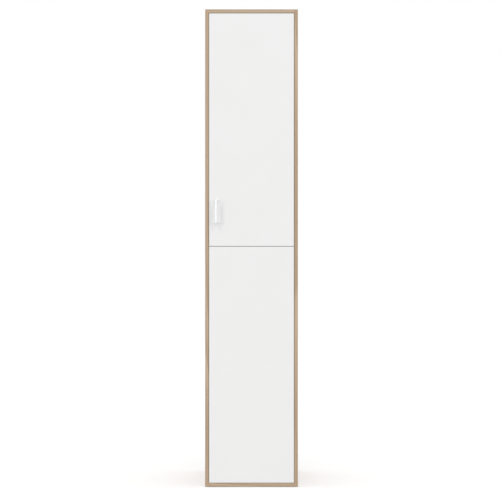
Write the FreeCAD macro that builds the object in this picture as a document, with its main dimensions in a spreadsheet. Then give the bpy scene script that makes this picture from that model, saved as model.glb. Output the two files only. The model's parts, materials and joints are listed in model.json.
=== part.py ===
import FreeCAD, Part
import Sketcher
import os
import re

# Tall office cabinet with two inset doors, one above the other, in a frame of light board.
# Millimetres, +X to the right, +Y to the back, +Z up. The origin lies on the floor, in the middle
# of the outline that the cabinet and its handle cover.

doc = FreeCAD.newDocument("office_cabinet")
sheet = doc.addObject("Spreadsheet::Sheet", "Sizes")

# Driving sizes. A size that ends in _side is measured from the right side's inner face towards the
# middle of the cabinet, and one that ends in _front from the doors' front towards the back.
sizes = {
    # carcass
    "width": 400,
    "depth": 400,
    "height": 2060,
    "board": 15,
    "band": 1,
    "band_round": 0.6,
    "back_thick": 3,
    "back_inset": 12,
    "groove_depth": 7,
    "groove_play": 0.2,
    "fit_play": 0.1,
    # shelves and their pins
    "fixed_shelf_front": 22,
    "loose_shelf_front": 34,
    "loose_shelf_play": 0.8,
    "shelf_pin": 5,
    "shelf_pin_depth": 9,
    "shelf_pin_reach": 8,
    "shelf_pin_pitch": 32,
    "shelf_pin_row": 64,
    # corner fittings
    "fitting_row": 70,
    "cam_diameter": 15,
    "cam_depth": 12.5,
    "cam_height": 12,
    "cam_reach": 34,
    "bolt_neck": 7,
    "bolt_thread": 5,
    "bolt_thread_depth": 10,
    "bolt_channel": 8,
    "bolt_short": 1,
    "dowel_diameter": 8,
    "dowel_length": 30,
    "dowel_depth": 10,
    "dowel_step": 32,
    # glides under the sides
    "glide_head": 1.5,
    "glide_diameter": 13,
    "glide_pin": 5,
    "glide_pin_length": 18,
    "glide_inset": 40,
    # doors
    "door_thick": 16,
    "door_gap": 2,
    "door_recess": 1,
    # bow handle of the upper door
    "handle_spacing": 96,
    "handle_diameter": 9,
    "handle_projection": 28,
    "handle_bend": 6,
    "handle_edge": 30.4,
    "handle_rise": 100,
    "handle_screw": 4,
    "handle_screw_depth": 9,
    "handle_screw_head": 8,
    "handle_screw_head_height": 2,
    # hinge cups
    "hinge_end": 100,
    "cup_edge": 21.5,
    "cup_diameter": 35,
    "cup_depth": 12.5,
    "cup_wall": 0.9,
    "cup_floor": 0.9,
    "flange_thick": 1.2,
    "flange_length": 58,
    "flange_width": 14,
    "cup_screw_pitch": 45,
    "cup_screw_offset": 9.5,
    "cup_screw": 3.5,
    "cup_screw_depth": 11,
    "cup_screw_head": 7,
    "cup_screw_head_height": 1.4,
    # hinge links, pins and where they stand with the door closed
    "link_pin": 2,
    "link_width": 4.4,
    "inner_link_thick": 4,
    "outer_link_thick": 1.6,
    "link_side_play": 0.15,
    "open_eye": 4.6,
    "open_eye_ring": 1,
    "outer_arm_pin_side": 35.4,
    "outer_arm_pin_front": 27.7,
    "outer_knee_side": 25.2,
    "outer_knee_front": 7,
    "outer_cup_pin_side": 12.1,
    "outer_cup_pin_front": 11.1,
    "inner_arm_pin_side": 36.3,
    "inner_arm_pin_front": 8.7,
    "open_eye_side": 36.1,
    "open_eye_front": 9.8,
    "inner_knee_side": 21.9,
    "inner_knee_front": 7,
    "inner_cup_pin_side": 17,
    "inner_cup_pin_front": 9.1,
    "boss_gap": 0.8,
    "boss_length": 3.4,
    # hinge arms
    "arm_thick": 6,
    "arm_cheek": 2.05,
    "arm_slot_front": 15.5,
    "arm_knee_side": 29,
    "arm_knee_front": 38,
    "arm_heel_front": 48,
    "arm_end_front": 92,
    "arm_foot_width": 16,
    "arm_round": 2.5,
    "arm_screw": 4,
    "fixing_screw_front": 80,
    "adjusting_screw_front": 60,
    "arm_screw_depth": 5,
    "arm_screw_head": 7,
    "arm_screw_head_height": 2,
    # mounting plates
    "plate_line": 37,
    "plate_thick": 2,
    "plate_wing_length": 48,
    "plate_wing_width": 14,
    "plate_spine": 6.5,
    "plate_spine_width": 12,
    "plate_spine_start": 8,
    "plate_screw": 5,
    "plate_screw_pitch": 32,
    "plate_screw_depth": 11,
    "plate_screw_head": 8.5,
    "plate_screw_head_height": 1.8,
    # small screws of the fittings
    "screw": 3.5,
    "screw_depth": 11,
    "screw_head": 6.5,
    "screw_head_height": 2,
    # strike plates on the doors
    "strike_thick": 1.2,
    "strike_gap": 0.3,
    "strike_pin": 5,
    "strike_pin_depth": 9,
    # magnetic catch of the upper door
    "catch_inset": 18,
    "catch_length": 46,
    "catch_depth": 18,
    "catch_height": 14,
    "catch_round": 4,
    "magnet_length": 24,
    "magnet_height": 8,
    "magnet_depth": 5,
    "magnet_stand": 0.6,
    "catch_screw_pitch": 36,
    "catch_strike_length": 36,
    "catch_strike_height": 12,
    # push latch of the lower door
    "latch_drop": 110,
    "latch_length": 74,
    "latch_width": 18,
    "latch_height": 16,
    "latch_round": 4,
    "latch_back": 4,
    "latch_screw_front": 20,
    "latch_wing": 12,
    "latch_wing_thick": 3,
    "plunger_diameter": 9,
    "plunger_play": 0.1,
    "plunger_length": 56,
    "plunger_stand": 5,
    "latch_strike_diameter": 18,
    # wall bracket
    "bracket_width": 50,
    "bracket_leg": 34,
    "bracket_thick": 2.5,
    "bracket_bend": 2,
    "bracket_round": 5,
    "bracket_hole_reach": 20.4,
    "bracket_screw_pitch": 30,
    "wall_hole": 6,
}
for row, (alias, value) in enumerate(sizes.items(), start=1):
    sheet.set(f"A{row}", alias)
    sheet.set(f"B{row}", str(value))
    sheet.setAlias(f"B{row}", alias)
doc.recompute()

sub_parts = []


# Small helpers

# A formula is written with the plain names of the sizes; this adds the sheet's name to each.
def formula(text):
    return re.sub(r"[a-z_]\w*", lambda word: f"Sizes.{word[0]}" if word[0] in sizes else word[0], text)


def number(text):
    return float(sheet.evalExpression(formula(text)))


def name_sub_part(piece, label):
    piece.Label = label
    sub_parts.append(piece)
    return piece


def put(piece, x, y, z, turn=FreeCAD.Rotation()):
    piece.Placement = FreeCAD.Placement(FreeCAD.Vector(), turn)
    for letter, text in zip("xyz", (x, y, z)):
        piece.setExpression(f"Placement.Base.{letter}", formula(text))
    return piece


turns = {
    "+x": FreeCAD.Rotation(FreeCAD.Vector(0, 1, 0), 90),
    "-x": FreeCAD.Rotation(FreeCAD.Vector(0, 1, 0), -90),
    "+y": FreeCAD.Rotation(FreeCAD.Vector(1, 0, 0), -90),
    "-y": FreeCAD.Rotation(FreeCAD.Vector(1, 0, 0), 90),
    "+z": FreeCAD.Rotation(),
    "-z": FreeCAD.Rotation(FreeCAD.Vector(1, 0, 0), 180),
}


def box(across, deep, tall, x, y, z):
    piece = doc.addObject("Part::Box", "box")
    for side, text in (("Length", across), ("Width", deep), ("Height", tall)):
        piece.setExpression(side, formula(text))
    return put(piece, x, y, z)


def rod(diameter, length, axis, x, y, z):
    piece = doc.addObject("Part::Cylinder", "rod")
    piece.setExpression("Radius", formula(f"({diameter}) / 2"))
    piece.setExpression("Height", formula(length))
    return put(piece, x, y, z, turns[axis])


def fuse(*pieces):
    piece = doc.addObject("Part::MultiFuse", "fuse")
    piece.Shapes = list(pieces)
    return piece


def cut(base, *tools):
    piece = doc.addObject("Part::Cut", "cut")
    piece.Base = base
    piece.Tool = tools[0] if len(tools) == 1 else fuse(*tools)
    return piece


def group(label, pieces):
    piece = doc.addObject("Part::Compound", label)
    piece.Links = pieces
    return name_sub_part(piece, label)


# A turned piece: rods of the given diameters and lengths, one after the other along the axis.
def turned(steps, axis, x, y, z):
    start = {"x": x, "y": y, "z": z}
    run = "0"
    rods = []
    for diameter, length in steps:
        place = dict(start)
        place[axis[1]] = f"{start[axis[1]]} {axis[0]} ({run})"
        rods.append(rod(diameter, length, axis, place["x"], place["y"], place["z"]))
        run = f"{run} + {length}"
    return fuse(*rods)


# A screw whose head lies on a face, with its shank going along the axis from there.
def screw(shank, depth, head, head_height, axis, x, y, z):
    back = {"x": x, "y": y, "z": z}
    other = "-" if axis[0] == "+" else "+"
    back[axis[1]] = f"{back[axis[1]]} {other} ({head_height})"
    return turned([(head, head_height), (shank, depth)], axis, back["x"], back["y"], back["z"])


# Bodies with sketches

def sketch_on(body, plane, offset="0"):
    sketch = body.newObject("Sketcher::SketchObject", f"{body.Name}_sketch")
    origin = next(feature for feature in body.Origin.OriginFeatures if feature.Role == plane)
    sketch.AttachmentSupport = (origin, [""])
    sketch.MapMode = "FlatFace"
    sketch.setExpression("AttachmentOffset.Base.z", formula(offset))
    return sketch


def measure(sketch, kind, *places, text):
    index = sketch.addConstraint(Sketcher.Constraint(kind, *places, number(text)))
    sketch.setExpression(f"Constraints[{index}]", formula(text))


def rectangle(sketch, left, low, across, along):
    x, y = number(left), number(low)
    right, high = x + number(across), y + number(along)
    corners = [FreeCAD.Vector(*corner) for corner in ((x, y), (right, y), (right, high), (x, high))]
    first = sketch.GeometryCount
    for start, end in zip(corners, corners[1:] + corners[:1]):
        sketch.addGeometry(Part.LineSegment(start, end), False)
    for line in range(4):
        sketch.addConstraint(Sketcher.Constraint("Coincident", first + line, 2, first + (line + 1) % 4, 1))
        sketch.addConstraint(Sketcher.Constraint("Vertical" if line % 2 else "Horizontal", first + line))
    measure(sketch, "DistanceX", -1, 1, first, 1, text=left)
    measure(sketch, "DistanceY", -1, 1, first, 1, text=low)
    measure(sketch, "DistanceX", first, 1, first, 2, text=across)
    measure(sketch, "DistanceY", first + 1, 1, first + 1, 2, text=along)


def circle(sketch, x, y, diameter):
    centre = FreeCAD.Vector(number(x), number(y))
    ring = sketch.addGeometry(Part.Circle(centre, FreeCAD.Vector(0, 0, 1), number(diameter) / 2), False)
    measure(sketch, "DistanceX", -1, 1, ring, 3, text=x)
    measure(sketch, "DistanceY", -1, 1, ring, 3, text=y)
    measure(sketch, "Diameter", ring, text=diameter)


def pad(body, sketch, length, backwards=False):
    feature = body.newObject("PartDesign::Pad", f"{body.Name}_pad")
    feature.Profile = sketch
    feature.setExpression("Length", formula(length))
    feature.Reversed = backwards
    return feature


def pocket(body, sketch, depth, backwards=False, both_ways=False):
    feature = body.newObject("PartDesign::Pocket", f"{body.Name}_pocket")
    feature.Profile = sketch
    feature.setExpression("Length", formula(depth))
    feature.Reversed = backwards
    feature.Midplane = both_ways
    return feature


def drill(body, plane, offset, backwards, diameter, depth, places):
    sketch = sketch_on(body, plane, offset)
    for x, y in places:
        circle(sketch, x, y, diameter)
    pocket(body, sketch, depth, backwards)


def round_edges(body, feature, radius, chosen):
    doc.recompute()
    edges = [f"Edge{index}" for index, edge in enumerate(feature.Shape.Edges, start=1) if chosen(edge)]
    rounding = body.newObject("PartDesign::Fillet", f"{body.Name}_fillet")
    rounding.Base = (feature, edges)
    rounding.setExpression("Radius", formula(radius))
    return rounding


def board(label, plane, across, along, thick, x, y, z):
    body = doc.addObject("PartDesign::Body", label)
    outline = sketch_on(body, plane)
    rectangle(outline, "0", "0", across, along)
    pad(body, outline, thick)
    put(body, x, y, z)
    return name_sub_part(body, label)


# Places that many pieces share

front = "((handle_projection - door_recess - depth) / 2)"
door_front = f"({front} + door_recess)"
inner = "(width / 2 - board)"
clear_width = "(width - 2 * board)"
back_face = f"({front} + depth - back_inset - back_thick)"
middle = "((height + glide_head) / 2)"
split = f"({middle} + board / 2)"
levels = {
    "bottom_panel": "(glide_head + board / 2)",
    "middle_shelf": middle,
    "top_panel": "(height - board / 2)",
}
bays = {
    "lower": ("(glide_head + board)", f"({middle} - board / 2)"),
    "upper": (split, "(height - board)"),
}
doors = {
    "lower": ("(glide_head + board + door_gap)", f"({split} - door_gap / 2)"),
    "upper": (f"({split} + door_gap / 2)", "(height - board - door_gap)"),
}
fitting_rows = ["fitting_row", "(depth - fitting_row)"]
dowel_rows = ["(fitting_row + dowel_step)", "(depth - fitting_row - dowel_step)"]
pin_rows = ["shelf_pin_row", "(depth - shelf_pin_row)"]
pin_steps = [-1, 0, 1]


def shelf_underside(bay, count):
    low, high = bays[bay]
    return f"({low} + {count} * ({high} - {low} - 2 * board) / 3 + {count - 1} * board)"


def pin_height(bay, count):
    return f"({shelf_underside(bay, count)} - (shelf_pin + fit_play) / 2)"


shelves = [(bay, count) for bay in bays for count in (1, 2)]


def hinge_heights(door):
    low, high = doors[door]
    return [f"({low} + hinge_end)", f"(({low} + {high}) / 2)", f"({high} - hinge_end)"]


hinges = [(door, spot, height) for door in doors
          for spot, height in enumerate(hinge_heights(door), start=1)]
door_back = f"({door_front} + door_thick)"
door_left = f"(door_gap - {inner})"
door_width = f"({clear_width} - 2 * door_gap)"
plate_front = "(door_recess + door_thick + plate_line)"
latch_height_mid = f"({doors['lower'][1]} - latch_drop)"
latch_mid = f"(latch_width / 2 - {inner})"
catch_mid = f"(catch_inset + catch_length / 2 - {inner})"
catch_height_mid = "(height - board - catch_height / 2)"
strike_face = "(door_recess + door_thick + strike_thick + strike_gap)"
handle_x = f"({door_left} + handle_edge)"
handle_foot = f"({doors['upper'][0]} + handle_rise)"
handle_feet = [handle_foot, f"({handle_foot} + handle_spacing)"]
bracket_hole = "(height - board - bracket_hole_reach)"


# Carcass sides

def side(label, x, face, backwards):
    body = board(label, "YZ_Plane", "depth - band", "height - glide_head", "board",
                 x, f"{front} + band", "glide_head")

    def bore(diameter, depth, places):
        spots = [(f"{y} - band", f"{z} - glide_head") for y, z in places]
        drill(body, "YZ_Plane", face, backwards, diameter, depth, spots)

    groove = sketch_on(body, "YZ_Plane", face)
    rectangle(groove, "depth - band - back_inset - back_thick - groove_play / 2", "0",
              "back_thick + groove_play", "height - glide_head")
    pocket(body, groove, "groove_depth", backwards)
    bore("bolt_thread + fit_play", "bolt_thread_depth",
         [(y, z) for z in levels.values() for y in fitting_rows])
    bore("dowel_diameter + fit_play", "dowel_depth",
         [(y, z) for z in levels.values() for y in dowel_rows])
    bore("shelf_pin + fit_play", "shelf_pin_depth",
         [(y, f"({pin_height(bay, count)} + {step} * shelf_pin_pitch)")
          for bay, count in shelves for y in pin_rows for step in pin_steps])
    drill(body, "XY_Plane", "0", True, "glide_pin + fit_play", "glide_pin_length",
          [("board / 2", f"{y} - band") for y in ("glide_inset", "depth - glide_inset")])
    return bore


left_bore = side("left_side", "-width / 2", "board", False)
right_bore = side("right_side", inner, "0", True)
latch_screw_y = "(door_recess + door_thick + latch_screw_front)"
latch_screws = [(latch_screw_y, f"({latch_height_mid} + {sign} * (latch_height + latch_wing) / 2)")
                for sign in (-1, 1)]
left_bore("screw + fit_play", "screw_depth", latch_screws)
plate_screws = [(plate_front, f"({height} + {sign} * plate_screw_pitch / 2)")
                for _, _, height in hinges for sign in (-1, 1)]
right_bore("plate_screw + fit_play", "plate_screw_depth", plate_screws)


# Boards that lie between the sides

def cross_board(label, start, along):
    level = levels[label]
    body = board(label, "XY_Plane", clear_width, along, "board", f"-{inner}", f"{front} + {start}",
                 f"{level} - board / 2")
    cams = [(x, f"{y} - {start}") for x in ("cam_reach", f"{clear_width} - cam_reach") for y in fitting_rows]
    drill(body, "XY_Plane", "0", True, "cam_diameter", "cam_depth", cams)
    bolts = [(f"{y} - {start}", "board / 2") for y in fitting_rows]
    dowels = [(f"{y} - {start}", "board / 2") for y in dowel_rows]
    for end, backwards in (("0", True), (clear_width, False)):
        drill(body, "YZ_Plane", end, backwards, "bolt_channel", "cam_reach", bolts)
        drill(body, "YZ_Plane", end, backwards, "dowel_diameter + fit_play",
              "dowel_length - dowel_depth", dowels)
    return body


def back_groove(body, face, backwards):
    groove = sketch_on(body, "XY_Plane", face)
    rectangle(groove, "0", "depth - band - back_inset - back_thick - groove_play / 2",
              clear_width, "back_thick + groove_play")
    pocket(body, groove, "groove_depth", backwards)


bottom_panel = cross_board("bottom_panel", "band", "depth - band")
back_groove(bottom_panel, "board", False)
top_panel = cross_board("top_panel", "band", "depth - band")
back_groove(top_panel, "0", True)
cross_board("middle_shelf", "(fixed_shelf_front + band)",
            "depth - back_inset - back_thick - groove_play / 2 - fixed_shelf_front - band")

catch_screws = [f"({catch_mid} + {sign} * catch_screw_pitch / 2)" for sign in (-1, 1)]
catch_screw_y = f"({strike_face} + magnet_stand + catch_depth / 2)"
drill(top_panel, "XY_Plane", "0", True, "screw + fit_play", "screw_depth",
      [(f"{x} + {inner}", f"{catch_screw_y} - band") for x in catch_screws])
bracket_screws = [f"({sign} * bracket_screw_pitch / 2)" for sign in (-1, 1)]
bracket_screw_y = "(depth - back_inset - back_thick - groove_play / 2 - bracket_hole_reach)"
drill(top_panel, "XY_Plane", "0", True, "screw + fit_play", "screw_depth",
      [(f"{x} + {inner}", f"{bracket_screw_y} - band") for x in bracket_screws])

# Back panel, held in grooves on all four sides
back_tuck = "(groove_depth - groove_play)"
back_panel = board("back_panel", "XZ_Plane", f"{clear_width} + 2 * {back_tuck}",
                   f"{bays['upper'][1]} - {bays['lower'][0]} + 2 * {back_tuck}", "back_thick",
                   f"-{inner} - {back_tuck}", f"{front} + depth - back_inset",
                   f"{bays['lower'][0]} - {back_tuck}")
drill(back_panel, "XZ_Plane", "0", True, "wall_hole", "back_thick",
      [(f"{inner} + {back_tuck}", f"{bracket_hole} - {bays['lower'][0]} + {back_tuck}")])


# Edge bands: strips whose outer face is rounded along both edges

def axes(across, inwards, along):
    directions = {"x": (1, 0, 0), "y": (0, 1, 0), "z": (0, 0, 1)}
    vectors = [FreeCAD.Vector(*directions[axis[1]]) * (-1 if axis[0] == "-" else 1)
               for axis in (across, inwards, along)]
    return FreeCAD.Rotation(*vectors, "XYZ")


band_turns = {
    "upright": axes("+x", "+y", "+z"),
    "level": axes("-z", "+y", "+x"),
    "door_left": axes("-y", "+x", "+z"),
    "door_right": axes("+y", "-x", "+z"),
    "door_bottom": axes("+y", "+z", "+x"),
    "door_top": axes("-y", "-z", "+x"),
}


def band_strip(turn, width, length, x, y, z):
    body = doc.addObject("PartDesign::Body", "band_strip")
    outline = sketch_on(body, "XY_Plane")
    rectangle(outline, "0", "0", width, "band")
    strip = pad(body, outline, length)
    round_edges(body, strip, "band_round", lambda edge: edge.BoundBox.YMax < number("band") / 2
                and edge.BoundBox.ZLength > number("band"))
    return put(body, x, y, z, band_turns[turn])


for label, x in (("left_side_band", "-width / 2"), ("right_side_band", inner)):
    name_sub_part(band_strip("upright", "board", "height - glide_head", x, front, "glide_head"), label)
for label, start in (("bottom_panel", "0"), ("top_panel", "0"), ("middle_shelf", "fixed_shelf_front")):
    band = band_strip("level", "board", clear_width, f"-{inner}", f"{front} + {start}",
                      f"{levels[label]} + board / 2")
    name_sub_part(band, f"{label}_band")

# Loose shelves on pins
shelf_bands = []
shelf_pins = []
for index, (bay, count) in enumerate(shelves, start=1):
    underside = shelf_underside(bay, count)
    left = f"loose_shelf_play - {inner}"
    across = f"{clear_width} - 2 * loose_shelf_play"
    board(f"shelf_{index}", "XY_Plane", across,
          "depth - back_inset - back_thick - loose_shelf_play - loose_shelf_front - band", "board",
          left, f"{front} + loose_shelf_front + band", underside)
    shelf_bands.append(band_strip("level", "board", across, left, f"{front} + loose_shelf_front",
                                  f"{underside} + board"))
    for y in pin_rows:
        for axis, x in (("+x", f"-{inner} - shelf_pin_depth"), ("-x", f"{inner} + shelf_pin_depth")):
            shelf_pins.append(rod("shelf_pin", "shelf_pin_depth + shelf_pin_reach", axis,
                                  x, f"{front} + {y}", pin_height(bay, count)))
group("shelf_bands", shelf_bands)
group("shelf_pins", shelf_pins)

# Cam locks with their bolts, and dowels, in every corner
cam_locks = []
cam_bolts = []
dowels = []
for level in levels.values():
    for sign, outward, inward in (("-", "-x", "+x"), ("+", "+x", "-x")):
        for row in fitting_rows:
            x, y = f"{sign}({inner} - cam_reach)", f"{front} + {row}"
            cam = rod("cam_diameter - fit_play", "cam_height", "+z", x, y, f"{level} - board / 2")
            cam_locks.append(cut(cam, rod("bolt_neck + fit_play", "cam_diameter", outward, x, y, level)))
            steps = [("bolt_thread", "bolt_thread_depth"), ("bolt_neck", "cam_reach - bolt_short")]
            cam_bolts.append(turned(steps, inward, f"{sign}({inner} + bolt_thread_depth)", y, level))
        for row in dowel_rows:
            dowels.append(rod("dowel_diameter", "dowel_length", inward,
                              f"{sign}({inner} + dowel_depth)", f"{front} + {row}", level))
group("cam_locks", cam_locks)
group("cam_bolts", cam_bolts)
group("dowels", dowels)

# Glides pressed into the lower edges of the sides
group("glides", [turned([("glide_diameter", "glide_head"), ("glide_pin", "glide_pin_length")], "+z",
                        f"{sign}(width / 2 - board / 2)", f"{front} + {y}", "0")
                 for sign in "-+" for y in ("glide_inset", "depth - glide_inset")])

# Wall bracket: a bent steel strip with round corners, under the top panel and against the back panel
bracket_front = f"({back_face} - groove_play / 2)"
bracket = doc.addObject("PartDesign::Body", "wall_bracket")
for leg in (("-bracket_leg", "-bracket_thick", "bracket_leg", "bracket_thick"),
            ("-bracket_thick", "-bracket_leg", "bracket_thick", "bracket_leg")):
    outline = sketch_on(bracket, "YZ_Plane")
    rectangle(outline, *leg)
    pad(bracket, outline, "bracket_width")


def along_bend(edge, low, high):
    spot = edge.BoundBox
    places = (spot.YMin, spot.ZMin)
    if spot.XLength < number("bracket_width / 2"):
        return False
    return number(low) < min(places) and max(places) < number(high)


def leg_corner(edge):
    reach = min(edge.BoundBox.YMin, edge.BoundBox.ZMin)
    return edge.Length < number("2 * bracket_thick") and reach < number("-bracket_leg / 2")


for radius, low, high in (("bracket_bend", "-1.5 * bracket_thick", "-bracket_thick / 2"),
                          ("bracket_bend + bracket_thick", "-bracket_thick / 2", "bracket_thick / 2")):
    round_edges(bracket, bracket.Tip, radius, lambda edge: along_bend(edge, low, high))
round_edges(bracket, bracket.Tip, "bracket_round", leg_corner)
drill(bracket, "XY_Plane", "0", False, "screw + fit_play", "bracket_thick",
      [(f"{x} + bracket_width / 2", "-bracket_hole_reach") for x in bracket_screws])
drill(bracket, "XZ_Plane", "0", True, "wall_hole", "bracket_thick",
      [("bracket_width / 2", "-bracket_hole_reach")])
name_sub_part(put(bracket, "-bracket_width / 2", bracket_front, "height - board"), "wall_bracket")

# Magnetic catch under the top panel, and its strike plate on the upper door
catch_y = f"({front} + {strike_face} + magnet_stand)"
catch_left = f"(catch_inset - {inner})"
catch_housing = board("catch_housing", "XY_Plane", "catch_length", "catch_depth", "catch_height",
                      catch_left, catch_y, "height - board - catch_height")
round_edges(catch_housing, catch_housing.Tip, "catch_round",
            lambda edge: edge.BoundBox.ZLength > number("catch_height") / 2)
magnet_seat = sketch_on(catch_housing, "XZ_Plane")
rectangle(magnet_seat, "(catch_length - magnet_length) / 2", "(catch_height - magnet_height) / 2",
          "magnet_length", "magnet_height")
pocket(catch_housing, magnet_seat, "magnet_depth - magnet_stand")
drill(catch_housing, "XY_Plane", "0", True, "screw + fit_play", "catch_height",
      [(f"{x} - {catch_left}", "catch_depth / 2") for x in catch_screws])
name_sub_part(box("magnet_length", "magnet_depth", "magnet_height", f"{catch_mid} - magnet_length / 2",
                  f"{catch_y} - magnet_stand", f"{catch_height_mid} - magnet_height / 2"), "catch_magnet")
catch_plate = box("catch_strike_length", "strike_thick", "catch_strike_height",
                  f"{catch_mid} - catch_strike_length / 2", door_back,
                  f"{catch_height_mid} - catch_strike_height / 2")
catch_pin = rod("strike_pin", "strike_pin_depth", "-y", catch_mid, door_back, catch_height_mid)
name_sub_part(fuse(catch_plate, catch_pin), "catch_strike_plate")

# Push latch on the left side, its plunger, and its strike plate on the lower door
latch_y = f"({front} + {strike_face} + plunger_stand)"
latch_housing = doc.addObject("PartDesign::Body", "latch_housing")
outline = sketch_on(latch_housing, "XZ_Plane")
rectangle(outline, "0", "-latch_height / 2", "latch_width", "latch_height")
latch_block = pad(latch_housing, outline, "latch_length", True)
round_edges(latch_housing, latch_block, "latch_round",
            lambda edge: edge.BoundBox.YLength > number("latch_length") / 2
            and edge.BoundBox.XMin > number("latch_width") / 2)
wings = sketch_on(latch_housing, "YZ_Plane")
rectangle(wings, f"{latch_screw_y} - latch_wing / 2 - ({latch_y} - {front})",
          "-latch_height / 2 - latch_wing", "latch_wing", "latch_height + 2 * latch_wing")
pad(latch_housing, wings, "latch_wing_thick")
drill(latch_housing, "XZ_Plane", "0", False, "plunger_diameter + plunger_play", "latch_length - latch_back",
      [("latch_width / 2", "0")])
drill(latch_housing, "YZ_Plane", "latch_wing_thick", False, "screw + fit_play", "latch_wing_thick",
      [(f"{y} - ({latch_y} - {front})", f"{z} - {latch_height_mid}") for y, z in latch_screws])
name_sub_part(put(latch_housing, f"-{inner}", latch_y, latch_height_mid), "latch_housing")
name_sub_part(rod("plunger_diameter", "plunger_length", "+y",
                  latch_mid, f"{front} + {strike_face}", latch_height_mid), "latch_plunger")
latch_plate = rod("latch_strike_diameter", "strike_thick", "+y", latch_mid, door_back, latch_height_mid)
latch_pin = rod("strike_pin", "strike_pin_depth", "-y", latch_mid, door_back, latch_height_mid)
name_sub_part(fuse(latch_plate, latch_pin), "latch_strike_plate")

# Screws of the bracket, the catch and the latch
def fitting_screw(through, axis, x, y, z):
    return screw("screw", f"{through} + screw_depth", "screw_head", "screw_head_height", axis, x, y, z)


small_screws = [fitting_screw("bracket_thick", "+z", x, f"{front} + {bracket_screw_y}",
                              "height - board - bracket_thick") for x in bracket_screws]
small_screws += [fitting_screw("catch_height", "+z", x, f"{front} + {catch_screw_y}",
                               "height - board - catch_height") for x in catch_screws]
small_screws += [fitting_screw("latch_wing_thick", "-x", f"latch_wing_thick - {inner}", f"{front} + {y}", z)
                 for y, z in latch_screws]
group("fitting_screws", small_screws)


# Doors

cup_x = f"({door_width} - cup_edge - band)"
for door, (low, high) in doors.items():
    core_left, core_low, tall = f"({door_left} + band)", f"({low} + band)", f"({high} - {low})"
    core_width, core_height = f"({door_width} - 2 * band)", f"({tall} - 2 * band)"
    door_right = f"({door_left} + {door_width})"
    body = board(f"{door}_door", "XZ_Plane", core_width, core_height, "door_thick",
                 core_left, door_back, core_low)
    strips = [band_strip("door_left", "door_thick", tall, door_left, door_back, low),
              band_strip("door_right", "door_thick", tall, door_right, door_front, low),
              band_strip("door_bottom", "door_thick", core_width, core_left, door_front, low),
              band_strip("door_top", "door_thick", core_width, core_left, door_back, high)]
    group(f"{door}_door_bands", strips)
    heights = [f"({height} - {core_low})" for height in hinge_heights(door)]
    drill(body, "XZ_Plane", "0", True, "cup_diameter", "cup_depth", [(cup_x, z) for z in heights])
    drill(body, "XZ_Plane", "0", True, "cup_screw + fit_play", "cup_screw_depth",
          [(f"{cup_x} - cup_screw_offset", f"{z} + {sign} * cup_screw_pitch / 2")
           for z in heights for sign in (-1, 1)])
    if door == "upper":
        drill(body, "XZ_Plane", "0", True, "handle_screw + fit_play", "door_thick",
              [(f"{handle_x} - {core_left}", f"{foot} - {core_low}") for foot in handle_feet])
        strike_x, strike_z = catch_mid, catch_height_mid
    else:
        strike_x, strike_z = latch_mid, latch_height_mid
    drill(body, "XZ_Plane", "0", True, "strike_pin + fit_play", "strike_pin_depth",
          [(f"{strike_x} - {core_left}", f"{strike_z} - {core_low}")])

# Bow handle: a round bar with two bends and two legs
grip_y = f"({door_front} - handle_projection + handle_diameter / 2)"
leg_length = "(handle_projection - handle_diameter / 2 - handle_bend)"
across_x = FreeCAD.Vector(1, 0, 0)
out_y = FreeCAD.Vector(0, -1, 0)
bends = {
    handle_feet[0]: ("+", FreeCAD.Rotation(out_y, FreeCAD.Vector(0, 0, -1), across_x, "XYZ")),
    handle_feet[1]: ("-", FreeCAD.Rotation(FreeCAD.Vector(0, 0, 1), out_y, across_x, "XYZ")),
}
bars = [rod("handle_diameter", "handle_spacing - 2 * handle_bend", "+z",
            handle_x, grip_y, f"{handle_foot} + handle_bend")]
for foot, (towards, turn) in bends.items():
    bend = doc.addObject("Part::Torus", "bend")
    bend.setExpression("Radius1", formula("handle_bend"))
    bend.setExpression("Radius2", formula("handle_diameter / 2"))
    bend.Angle3 = 90
    bars.append(put(bend, handle_x, f"{grip_y} + handle_bend", f"{foot} {towards} handle_bend", turn))
    bars.append(rod("handle_diameter", leg_length, "-y", handle_x, door_front, foot))
handle_holes = [rod("handle_screw + fit_play", "handle_screw_depth", "-y", handle_x, door_front, foot)
                for foot in handle_feet]
name_sub_part(cut(fuse(*bars), *handle_holes), "handle")
group("handle_screws", [screw("handle_screw", "door_thick + handle_screw_depth", "handle_screw_head",
                              "handle_screw_head_height", "-y", handle_x, door_back, foot)
                        for foot in handle_feet])


# Hinge cups: a pressed shell with ears, two lugs for the inner link and two bosses for the outer one

cheek_inside = "(inner_link_thick / 2 + link_side_play)"
cheek_outside = f"({cheek_inside} + arm_cheek)"
plate_inside = f"({cheek_outside} + link_side_play)"
plate_outside = f"({plate_inside} + outer_link_thick)"
boss_start = f"({plate_outside} + boss_gap)"
cup_side = "(cup_edge + door_gap)"
cup_base = "(door_thick - cup_depth + cup_floor)"


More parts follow.
